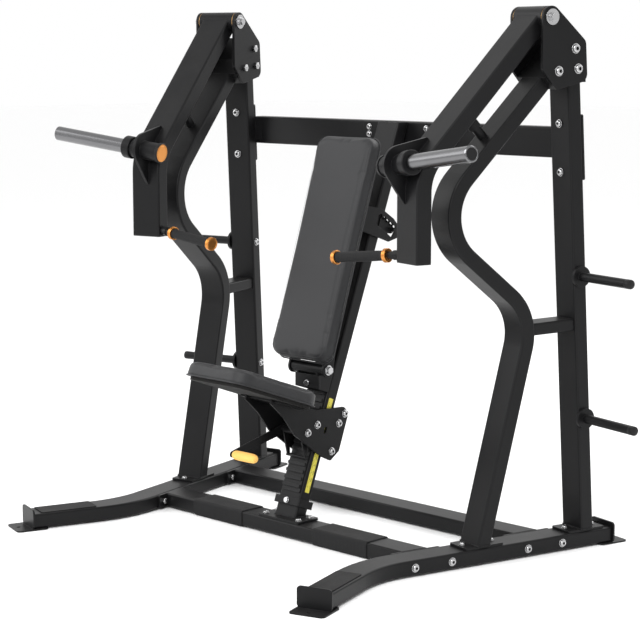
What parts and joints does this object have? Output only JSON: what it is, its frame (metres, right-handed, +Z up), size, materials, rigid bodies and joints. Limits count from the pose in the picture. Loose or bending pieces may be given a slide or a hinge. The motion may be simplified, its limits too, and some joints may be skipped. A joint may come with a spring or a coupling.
{
  "type": "chest press machine",
  "caption": "Plate-loaded chest press: toed side frames, swinging press arms with weight horns and handles, adjustable seat on a leaning post and a reclining back pad.",
  "frame": {"origin": "on the floor, under the middle of the footprint", "axes": "+Z up, -Y towards the front where the user gets on, +X to the right as seen from the front"},
  "size_m": [2.1416, 1.3892, 1.76],
  "materials": {
    "black_steel": "satin black powder coat",
    "chrome": "polished",
    "bronze": "plain",
    "orange_metal": "orange anodised",
    "rubber": "matt",
    "dark_plastic": "moulded",
    "vinyl": "grained upholstery vinyl",
    "board": "black painted plywood",
    "yellow_foam": "soft foam",
    "yellow_label": "printed sticker"
  },
  "bodies": {
    "frame": {"right_base_rail": "black_steel", "left_base_rail": "black_steel", "right_front_upright": "black_steel", "left_front_upright": "black_steel", "right_rear_upright": "black_steel", "left_rear_upright": "black_steel", "braces": "black_steel", "head_blocks": "black_steel", "pivot_plates": "black_steel", "pivot_shafts": "chrome", "stop_rubbers": "rubber", "foot_brackets": "black_steel", "toe_pads": "rubber", "storage_pegs": "black_steel", "front_crossmember": "black_steel", "rear_crossmember": "black_steel", "grip_sleeves": "rubber", "back_post": "black_steel", "top_crossbar": "black_steel", "seat_rack": "dark_plastic", "height_scale": "yellow_label", "stop_collar": "black_steel", "rail_bolts": "chrome", "foot_bolts": "chrome", "upright_bolts": "chrome", "head_bolts": "chrome", "post_bolts": "chrome", "post_screws": "chrome", "hinge_bracket": "black_steel", "ladder_bar": "black_steel"},
    "right_arm": {"right_press_arm": "black_steel", "right_pivot_bushes": "bronze", "right_weight_horn": "chrome", "right_horn_collar": "black_steel", "right_handle_bar": "black_steel", "right_handle_grip": "rubber", "right_orange_trim": "orange_metal", "right_arm_plugs": "dark_plastic"},
    "left_arm": {"left_press_arm": "black_steel", "left_pivot_bushes": "bronze", "left_weight_horn": "chrome", "left_horn_collar": "black_steel", "left_handle_bar": "black_steel", "left_handle_grip": "rubber", "left_orange_trim": "orange_metal", "left_arm_plugs": "dark_plastic"},
    "seat": {"seat_carriage": "black_steel", "carriage_bolts": "chrome", "seat_rollers": "dark_plastic", "seat_glide": "dark_plastic", "seat_board": "board", "seat_pad": "vinyl"},
    "lever": {"seat_lever": "black_steel", "lever_grip": "yellow_foam"},
    "back": {"back_board": "board", "back_pad": "vinyl", "back_lugs": "black_steel", "hinge_pin": "chrome", "back_ladders": "black_steel"}
  },
  "joints": [
    {"name": "right_arm_press", "type": "hinge", "parent": "frame", "child": "right_arm", "pos_m": [0.73195, 0.31753, 1.726], "axis": [-0.9703, 0.2419, 0], "range_deg": [0, 50]},
    {"name": "left_arm_press", "type": "hinge", "parent": "frame", "child": "left_arm", "pos_m": [-0.73195, 0.31753, 1.726], "axis": [-0.9703, -0.2419, 0], "range_deg": [0, 50]},
    {"name": "seat_height", "type": "slide", "parent": "frame", "child": "seat", "axis": [0, 0.36, 0.933], "range_m": [-0.12, 0.08]},
    {"name": "seat_release", "type": "hinge", "parent": "seat", "child": "lever", "pos_m": [0, -0.025, 0.352], "axis": [-1, 0, 0], "range_deg": [0, 12], "stiffness_Nm_per_rad": 6, "springref_deg": -20.05},
    {"name": "back_recline", "type": "hinge", "parent": "frame", "child": "back", "pos_m": [0, 0.053, 0.558], "axis": [1, 0, 0], "range_deg": [-8, 0]}
  ]
}
